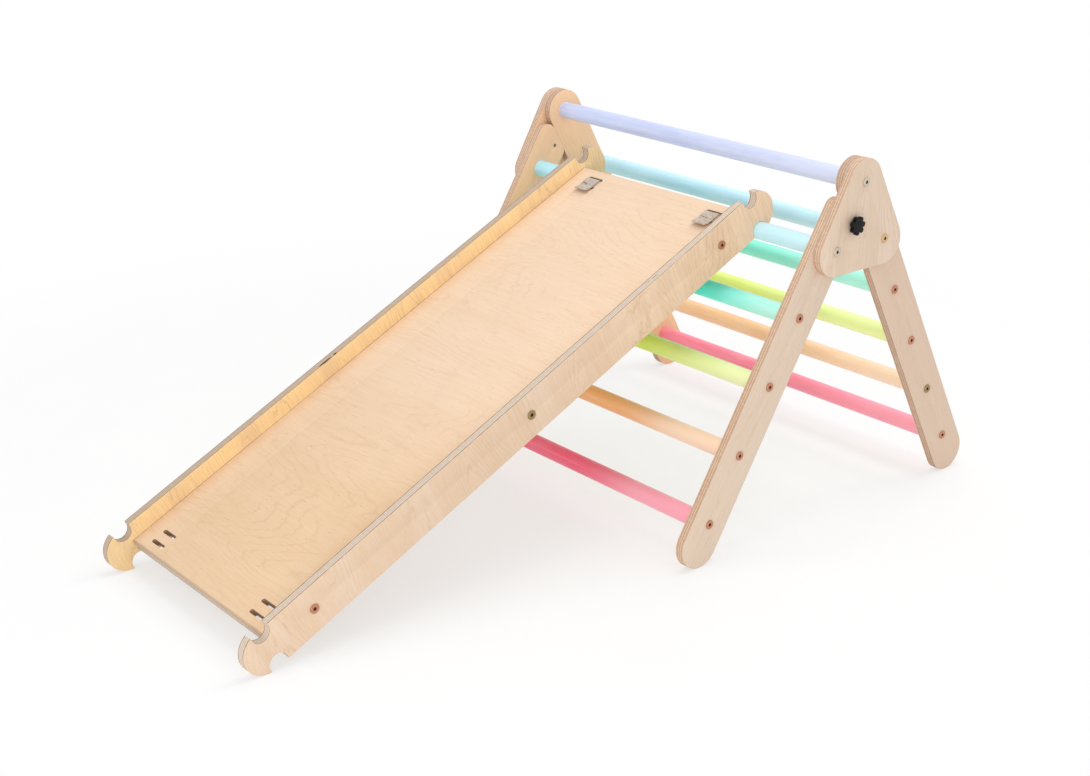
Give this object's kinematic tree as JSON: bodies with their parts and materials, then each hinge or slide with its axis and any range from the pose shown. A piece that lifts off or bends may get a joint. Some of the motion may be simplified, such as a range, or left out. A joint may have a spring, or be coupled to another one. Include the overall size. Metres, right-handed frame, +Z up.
{
  "type": "folding climbing triangle",
  "caption": "Folding wooden climbing triangle: rung ladders hinged below the top rung and locked by lobed knobs, with a ramp hooked over a rung by its notched rail ends and straps.",
  "frame": {"origin": "on the floor, at the middle of the footprint of the opened triangle with its ramp", "axes": "+X along the rungs, +Y from the ramp towards the back ladder, +Z up"},
  "size_m": [0.7826, 1.3872, 0.6132],
  "materials": {
    "plywood": "birch plywood, sanded, clear matt lacquer, striped edges",
    "rung_lilac": "round beech rod, satin lilac lacquer",
    "rung_cyan": "round beech rod, satin pale blue lacquer",
    "rung_teal": "round beech rod, satin mint lacquer",
    "rung_lime": "round beech rod, satin lime lacquer",
    "rung_orange": "round beech rod, satin peach orange lacquer",
    "rung_pink": "round beech rod, satin pink lacquer",
    "bolt_bronze": "bronze-plated steel, satin",
    "bolt_brass": "yellow zinc-plated steel, satin",
    "zinc_steel": "zinc-plated steel",
    "knob_plastic": "black moulded plastic, satin",
    "strap_webbing": "grey hook-and-loop webbing"
  },
  "bodies": {
    "back": {"back_leg_right": "plywood", "back_leg_left": "plywood", "gusset_right": "plywood", "gusset_left": "plywood", "rung_lilac": "rung_lilac", "rung_back_cyan": "rung_cyan", "rung_back_teal": "rung_teal", "rung_back_lime": "rung_lime", "rung_back_orange": "rung_orange", "rung_back_pink": "rung_pink", "back_bolts_right": "bolt_bronze", "back_bolts_left": "bolt_bronze", "gusset_bolts_right": "bolt_brass", "gusset_bolts_left": "bolt_brass"},
    "front": {"front_leg_right": "plywood", "front_leg_left": "plywood", "rung_front_cyan": "rung_cyan", "rung_front_teal": "rung_teal", "rung_front_lime": "rung_lime", "rung_front_orange": "rung_orange", "rung_front_pink": "rung_pink", "front_bolts_right": "bolt_bronze", "front_bolts_left": "bolt_bronze", "pivot_bolt_right": "bolt_brass", "pivot_bolt_left": "bolt_brass", "insert_right": "zinc_steel", "insert_left": "zinc_steel"},
    "ramp": {"ramp_rail_right": "plywood", "ramp_rail_left": "plywood", "ramp_board": "plywood", "ramp_bolts_right": "bolt_bronze", "ramp_bolts_left": "bolt_bronze", "strap_right": "strap_webbing", "strap_left": "strap_webbing"},
    "stud_right": {"stud_right": "zinc_steel"},
    "stud_left": {"stud_left": "zinc_steel"},
    "knob_right": {"knob_right": "knob_plastic"},
    "knob_left": {"knob_left": "knob_plastic"}
  },
  "joints": [
    {"name": "front_fold", "type": "hinge", "parent": "back", "child": "front", "pos_m": [0, 0.3034, 0.47238], "axis": [1, 0, 0], "range_deg": [0, 60]},
    {"name": "ramp_lift", "type": "hinge", "parent": "front", "child": "ramp", "pos_m": [0, 0.3034, 0.47238], "axis": [-1, 0, 0], "range_deg": [0, 60]},
    {"name": "knob_out_right", "type": "slide", "parent": "back", "child": "stud_right", "axis": [1, 0, 0], "range_m": [0, 0.012]},
    {"name": "knob_turn_right", "type": "hinge", "parent": "stud_right", "child": "knob_right", "pos_m": [0.38, 0.33851, 0.5107], "axis": [1, 0, 0], "range_deg": [0, 4320]},
    {"name": "knob_out_left", "type": "slide", "parent": "back", "child": "stud_left", "axis": [-1, 0, 0], "range_m": [0, 0.012]},
    {"name": "knob_turn_left", "type": "hinge", "parent": "stud_left", "child": "knob_left", "pos_m": [-0.38, 0.33851, 0.5107], "axis": [-1, 0, 0], "range_deg": [0, 4320]}
  ],
  "couplings": [
    {"joint": "knob_out_right", "follows": "knob_turn_right", "m_per_rad": 0.00015915},
    {"joint": "knob_out_left", "follows": "knob_turn_left", "m_per_rad": 0.00015915}
  ]
}
